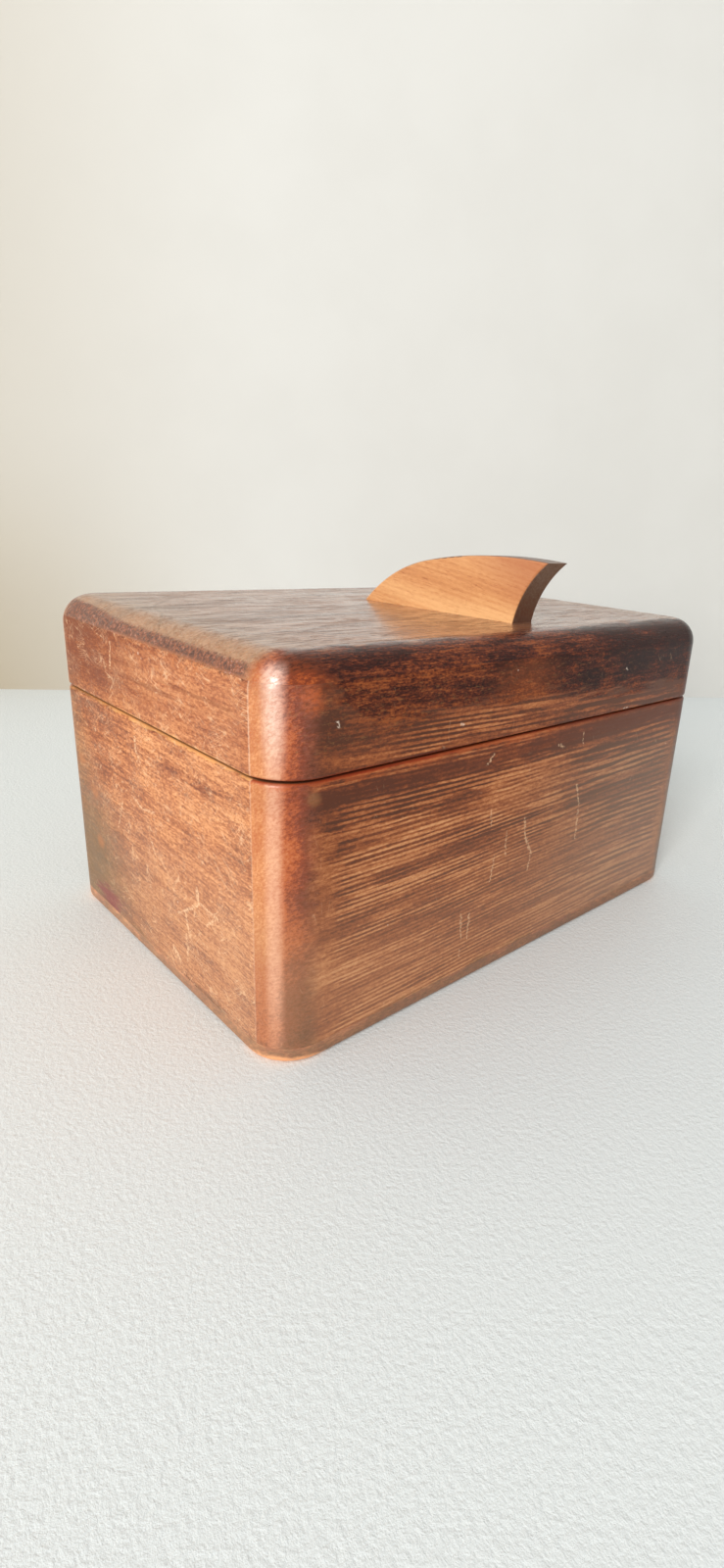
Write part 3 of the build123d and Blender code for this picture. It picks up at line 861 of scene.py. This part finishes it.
def top_panel_finish():
    """Lid's top panel: dark brown with fine lines along X; end grain on its ends, stain in front."""
    made, n, surface = new_finish("stained top panel")
    point = n.position()
    x, y, z = n.split(point)
    lengthwise = n.with_grain(x, y, z, 0.4)
    grain = n.group(GRAIN, Vector=lengthwise, Pitch=1.5, Wander=14.0)
    fine, gritty, cloudy = n.group(MOTTLE, Vector=lengthwise)
    tone = n.add_up(n.swing(grain["Bands"], 0.8), n.swing(fine, 0.9), 0.5)
    flat = n.fade(n.size(x), HALF_LENGTH - 7, HALF_LENGTH - 4)
    ribs = n.times(n.ease(grain["Ribs"], 0.25, 0.75, -0.13, 0.13), flat)
    tone = n.add_up(tone, ribs, n.swing(cloudy, 0.5))
    base = n.shades(tone, {0.1: DARK_WOOD, 0.35: BROWN_WOOD, 0.6: TOP_WOOD, 0.85: MID_WOOD})
    crack = strokes(n, n.join(x, y, 0.0), TOP_CRACK)
    base = n.mix(crack, base, DARK_WOOD)
    thin = n.noise(n.stretch(point, 0.04, 0.42, 1.0), detail=3, roughness=0.65)
    thin = n.fade(n.size(n.centre(thin)), 0.02, 0.05)

    # Dust and painted sheen: grey-beige over the top, thickest over the ends' rounding, where it stands in
    # for their grey reflection
    from_end = n.add_up(n.size(x), n.swing(fine, 2.4))
    dust = n.ease(from_end, HALF_LENGTH - 22.0, HALF_LENGTH - 6.0, 0.25, 0.6)
    base = n.mix(n.times(dust, n.ease(gritty, 0.35, 0.6, 0.6, 1.1)), base, TOP_DUST_AND_SHEEN)
    thin_shown = n.times(thin, n.ease(from_end, HALF_LENGTH - 8.0, HALF_LENGTH - 3.0, 0.5, 0.15))
    base = n.mix(thin_shown, base, DARK_WOOD)

    # Front and back edges: dark stain, redder to the left
    ragged = n.noise(n.stretch(point, 0.12, 0.3, 0.3), detail=5, roughness=0.7)
    from_side = n.add_up(n.size(y), n.swing(ragged, 16.0))
    side = n.ease(from_side, HALF_DEPTH - 9.0, HALF_DEPTH - 5.0)
    edge = n.add_up(n.swing(fine, 1.3), n.swing(gritty, 0.8), 0.5)
    edge = n.shades(edge, {0.2: DARK_WOOD, 0.42: BROWN_WOOD, 0.65: MID_WOOD})
    base = n.mix(side, base, stained_lid(n, point, edge))

    # Ends: open end grain, dark and speckled, with pale wood showing at its lower edge
    end = n.add_up(from_end, n.ease(y, 6.0, 40.0, 0.0, 1.6))
    end = n.ease(end, HALF_LENGTH - 2.1, HALF_LENGTH - 1.3)
    end = n.times(end, n.fade(n.size(y), FLAT_DEPTH - 1, FLAT_DEPTH + 4))
    open_grain = n.noise(n.stretch(point, 0.6, 1.3, 1.7), detail=5, roughness=0.8)
    end_wood = n.shades(open_grain, {0.4: END_DARK, 0.5: END_MIDDLE, 0.57: MID_WOOD, 0.64: END_FLECK})
    base = n.mix(n.times(end, 0.9), base, end_wood)
    lowest = n.add_up(z, n.swing(open_grain, 3.0))
    lowest = n.ease(lowest, PANEL_UNDER + 0.6, PANEL_UNDER + 0.1, 0.0, 0.4)
    base = n.mix(n.times(end, lowest, n.ease(y, 0.0, 30.0, 1.0, 0.2)), base, LIGHT_WOOD)

    # Rounded corners at the left, smooth, with the painted highlight that the walls have
    corner = n.times(n.ease(n.size(x), FLAT_LENGTH - 4, FLAT_LENGTH + 2), n.fade(x, -20.0, 20.0))
    corner = n.times(corner, n.ease(n.size(y), FLAT_DEPTH, FLAT_DEPTH + 4))
    round_by = n.add_up(n.less(n.size(y), n.size(x)), FLAT_LENGTH - FLAT_DEPTH)
    tone = n.add_up(n.swing(fine, 0.8), n.swing(gritty, 0.5))
    tone = n.add_up(tone, n.ease(z, 79.0, 82.0, 0.66, 0.4), n.ease(round_by, -2.5, 3.0, 0.0, -0.3))
    corner_wood = n.shades(tone, CORNER_STOPS)
    base = n.mix(n.times(corner, n.ease(x, -66.0, -60.0, 0.9, 0.3)), base, corner_wood)
    painted_highlight = n.times(corner_highlight(n, x, z, round_by, fine), corner)
    painted_highlight = n.times(painted_highlight, n.ease(z, LID_TOP - 0.8, LID_TOP - 3.5))
    base = n.mix(painted_highlight, base, LID_HIGHLIGHT_PALE)
    base = n.mix(n.times(specks(n, point, 5.0, 0.25, 0.15), 0.5), base, PALE_FLECK)
    base = bare_inside(n, point, base)

    # Gloss in fine lines, dull at the crack, the ends and the edges
    roughness = n.ease(n.add_up(n.swing(grain["Ribs"], 0.4), cloudy), 0.25, 0.75, 0.26, 0.38)
    fine_lines = n.noise(n.stretch(point, 0.07, 0.55, 1.0), detail=5, roughness=0.75)
    height = n.add_up(fine_lines, n.times(fine, 0.3), n.times(thin, -0.2))
    finish(n, surface, base, roughness, height, 0.1)
    surface.inputs["Specular IOR Level"].default_value = 0.2
    lines = n.add_up(
        n.swing(fine_lines, 5.0), n.times(n.centre(grain["Ribs"]), 1.2, flat), n.swing(fine, 3.0), 1.0,
        n.times(n.larger(crack, thin), -0.9),
        n.times(end, -0.8),
    )
    rounding = n.fade(n.size(y), HALF_DEPTH - 6.5, HALF_DEPTH - 2.5)
    duller = n.times(n.ease(x, -72.0, -36.0, 0.8, 1.0), n.ease(x, 30.0, 66.0, 1.0, 0.82))
    rounding = n.larger(n.times(rounding, duller), n.times(painted_highlight, 1.4))
    varnish(n, surface, n.times(n.ease(lines, 0.0, 1.0, 0.1, 0.97), rounding), 0.16)
    return made


def bottom_panel_finish():
    """Bottom panel: its edge continues the walls, with a pale worn arris where it stands."""
    made, n, surface = new_finish("stained bottom panel")
    point = n.position()
    x, y, z = n.split(point)
    lengthwise = n.with_grain(x, y, z, 1.0)
    grain = n.group(GRAIN, Vector=lengthwise, Pitch=1.6, Wander=8.0)
    fine, gritty, cloudy = n.group(MOTTLE, Vector=lengthwise)
    end = n.ease(n.size(y), FLAT_DEPTH + 3, FLAT_DEPTH + 6, 0.16, 0.0)
    tone = n.add_up(n.swing(grain["Bands"], 0.7), n.swing(fine, 0.9), n.swing(gritty, 0.3), end, 0.52)
    tone = n.add_up(tone, n.swing(cloudy, 0.6))
    stops = {0.1: DARK_WOOD, 0.28: BROWN_WOOD, 0.46: MID_WOOD, 0.64: LIGHT_WOOD, 0.88: PALE_WOOD}
    base = n.mix(0.25, n.shades(tone, stops), DUSTY_WOOD)
    base = foot_dirt(n, point, base)
    corner = n.ease(n.size(x), FLAT_LENGTH - 6, FLAT_LENGTH + 5)
    corner = n.times(corner, n.ease(n.size(y), FLAT_DEPTH - 6, FLAT_DEPTH + 3))
    reach = n.add_up(n.times(corner, 1.5), 0.2)
    worn = worn_line(n, n.stretch(point, 0.4, 0.4, 1.0), z, reach, 0.3, 0.6)
    base = n.mix(n.times(worn, n.ease(corner, 0.0, 0.6, 0.25, 0.9)), base, FOOT_ORANGE)
    base = bare_inside(n, point, base)
    roughness = n.ease(cloudy, 0.3, 0.7, 0.42, 0.6)
    finish(n, surface, base, roughness, fine, 0.05)
    varnish(n, surface, 0.2, 0.3)
    return made


def fin_finish():
    """Fin: honey-coloured wood, grain along its length, dark on its hollow end and thin top edge."""
    made, n, surface = new_finish("honey-coloured fin wood")
    where = {"Vector": n.position(), "Location": (FIN_X, 0, LID_TOP), "Rotation": (0, 0, FIN_TURN)}
    point = n.add("ShaderNodeMapping", where, vector_type="TEXTURE").outputs[0]
    across, along, height_up = n.split(point)
    lengthwise = n.join(along, n.add_up(height_up, n.times(across, 0.5), n.times(along, -0.12)), across)
    grain = n.group(GRAIN, Vector=lengthwise, Pitch=1.3, Wander=10.0)
    mottle = n.group(MOTTLE, Vector=lengthwise)
    tone = n.add_up(
        n.swing(grain["Bands"], 0.9), n.swing(mottle["Fine"], 0.5), 0.6,
        n.ease(grain["Ribs"], 0.3, 0.6, -0.06, 0.03),
        n.times(n.ease(grain["Pores"], 0.56, 0.72), -0.25),
        n.times(n.ease(height_up, 0.0, 8.0, 0.22, 0.0), n.ease(along, -34.0, 5.0, 1.0, 0.2)),
    )
    base = n.shades(tone, {0.15: HONEY_DARK, 0.5: HONEY, 0.85: HONEY_PALE})

    # Redder towards the upper front corner
    reddish = n.ease(n.less(n.times(height_up, 1.6), along), 34.0, 62.0, 0.0, 0.7)
    base = n.mix(reddish, base, HONEY_RED)

    # Hollow end, dark and redder at its foot, up to the curve of its arris; grey-brown top edge
    inner = n.fade(n.size(across), FIN_HALF - 0.35, FIN_HALF - 0.05)
    bulge = n.over(n.less(height_up, FIN_TIP_UP / 2), FIN_TIP_UP / 2)
    bulge = n.times(n.flip(n.times(bulge, bulge)), FIN_HOLLOW)
    slope = n.times(height_up, -FIN_OVERHANG / FIN_TIP_UP)
    end_line = n.add_up(slope, bulge, FIN_HEEL)
    at_end = n.fade(n.less(along, end_line), 0.25, 0.7)
    end_wood = n.add_up(n.ease(height_up, 0.0, 14.0, -0.12, 0.12), mottle["Fine"])
    end_wood = n.shades(end_wood, {0.3: END_RED, 0.5: END_BROWN, 0.7: END_GREY})
    top_edge = n.ease(height_up, 9.0, 13.0, 0.4, 0.92)
    base = n.mix(n.times(inner, top_edge, n.flip(at_end)), base, EDGE_BROWN)
    base = n.mix(n.times(inner, at_end), base, end_wood)

    roughness = n.ease(mottle["Cloudy"], 0.3, 0.7, 0.34, 0.46)
    height = n.add_up(n.times(grain["Ribs"], 0.5), n.times(grain["Pores"], -0.4))
    finish(n, surface, base, roughness, height, 0.03)
    varnish(n, surface, 0.25, 0.25)
    return made


def brass_finish():
    """Dull aged brass, darker in patches."""
    made, n, surface = new_finish("aged brass")
    point = n.position()
    patches = n.noise(n.stretch(point, 0.5, 0.5, 0.5), detail=4, roughness=0.6)
    base = n.mix(n.ease(patches, 0.4, 0.7, 0.0, 0.8), BRASS, BRASS_DARK)
    brushed = n.noise(n.stretch(point, 0.6, 6.0, 6.0), detail=2)
    roughness = n.ease(patches, 0.3, 0.7, 0.28, 0.5)
    surface.inputs["Metallic"].default_value = 1.0
    finish(n, surface, base, roughness, brushed, 0.01)
    return made


LONG_WALL = long_wall_finish()
END_WALL = end_wall_finish()
AGED_BRASS = brass_finish()
FINISHES = {
    "front_board": LONG_WALL,
    "back_board": LONG_WALL,
    "lid_front_rail": LONG_WALL,
    "lid_back_rail": LONG_WALL,
    "left_end_board": END_WALL,
    "right_end_board": END_WALL,
    "lid_left_rail": END_WALL,
    "lid_right_rail": END_WALL,
    "lid_top_panel": top_panel_finish(),
    "bottom_panel": bottom_panel_finish(),
    "fin_handle": fin_finish(),
}

for name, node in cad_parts.items():
    node.data.materials.clear()
    node.data.materials.append(FINISHES.get(name, AGED_BRASS))


# Stage, in metres: a pale table and a pale wall close behind the box

STAGE_SIZE = 3.0
WALL_POINT = Vector((-0.008, 0.306, 0.0))
WALL_HEADING = radians(-32.1)


def table_finish():
    """Pale table top with a faint fine grain."""
    made, n, surface = new_finish("pale table")
    grains = n.noise(n.stretch(n.position(), 0.9, 0.9, 0.9), detail=3, roughness=0.7)
    base = n.mix(n.ease(grains, 0.3, 0.7, 0.0, 0.06), colour(232, 237, 237), colour(168, 168, 168))
    finish(n, surface, base, 0.5, grains, 0.24)
    return made


def wall_finish():
    """Pale wall with painted shade: a little darker and warmer at its left, most of all low down."""
    made, n, surface = new_finish("pale wall")
    place_in_room = n.split(n.position())
    along = n.times(n.less(place_in_room["X"], WALL_POINT.x * MM), 1 / cos(WALL_HEADING))
    # Painted shade at the wall's left, strongest low down
    shade = n.times(n.ease(along, 150.0, -60.0), n.ease(along, -1400.0, -300.0))
    shade = n.times(shade, n.ease(place_in_room["Z"], 0.0, 150.0, 1.0, 0.5))
    base = n.mix(shade, colour(217, 215, 210), colour(172, 158, 134))
    cloudy = n.noise(n.stretch(n.position(), 0.02, 0.02, 0.02), detail=3)
    base = n.mix(n.ease(cloudy, 0.3, 0.7, 0.0, 0.1), base, colour(190, 186, 178))
    finish(n, surface, base, 0.8, cloudy, 0.05)
    return made


def stage_sheet(name, place_on_stage, material):
    """A large flat square of the stage, set in place in its mesh."""
    bpy.ops.mesh.primitive_plane_add(size=STAGE_SIZE)
    sheet = bpy.context.object
    sheet.name = name
    sheet.data.transform(place_on_stage)
    sheet.data.materials.append(material)


stage_sheet("table_top", Matrix.Identity(4), table_finish())
upright = Matrix.Rotation(WALL_HEADING, 4, "Z") @ Matrix.Rotation(radians(90), 4, "X")
stage_sheet("back_wall", Matrix.Translation(WALL_POINT) @ upright, wall_finish())


# Camera, at the photograph's viewing point: place in metres, focal length and sensor in millimetres

FOCAL_LENGTH = 17.17
SENSOR_WIDTH = 36.0
NEAREST = 0.01
CAMERA_PLACE = (-0.1403, -0.1571, 0.1065)
CAMERA_HEADING = radians(-45.39)
CAMERA_TILT = radians(19.03)
CAMERA_ROLL = radians(3.67)
SHIFT = (-0.0508, -0.0037)

lens = bpy.data.cameras.new("camera")
lens.lens = FOCAL_LENGTH
lens.sensor_width = SENSOR_WIDTH
lens.shift_x, lens.shift_y = SHIFT
lens.clip_start = NEAREST
camera = bpy.data.objects.new("camera", lens)
bpy.context.scene.collection.objects.link(camera)
camera.matrix_world = (
    Matrix.Translation(CAMERA_PLACE)
    @ Matrix.Rotation(CAMERA_HEADING, 4, "Z")
    @ Matrix.Rotation(radians(90) - CAMERA_TILT, 4, "X")
    @ Matrix.Rotation(CAMERA_ROLL, 4, "Z")
)
bpy.context.scene.camera = camera


# Light: a tall window and the pale side of the room, both to the left, and a pale room around

WARM = (0.985, 0.965, 0.93)
LIT_POINT = (0, 0, 0.04)


def soft_lamp(name, heading, height, distance, width, tall, power):
    """A soft lamp that looks at the box, from a heading and a height in degrees; sizes in metres."""
    data = bpy.data.lights.new(name, "AREA")
    data.shape = "RECTANGLE"
    data.size = width
    data.size_y = tall
    data.energy = power
    data.color = WARM
    lamp = bpy.data.objects.new(name, data)
    bpy.context.scene.collection.objects.link(lamp)
    turn = Matrix.Rotation(radians(heading), 4, "Z") @ Matrix.Rotation(radians(90 - height), 4, "X")
    lamp.matrix_world = Matrix.Translation(LIT_POINT) @ turn @ Matrix.Translation((0, 0, distance))
    lamp.visible_camera = False


soft_lamp("pale_room_side", heading=-88, height=32, distance=2.5, width=2.2, tall=1.9, power=14)
soft_lamp("tall_window", heading=-67, height=20, distance=2.0, width=0.42, tall=1.2, power=30)

world = bpy.data.worlds.new("room")
world.use_nodes = True
bpy.context.scene.world = world
backdrop = world.node_tree.nodes["Background"]
backdrop.inputs["Color"].default_value = (0.96, 0.985, 1.0, 1)
backdrop.inputs["Strength"].default_value = 0.56

bpy.context.scene.view_settings.view_transform = "Standard"
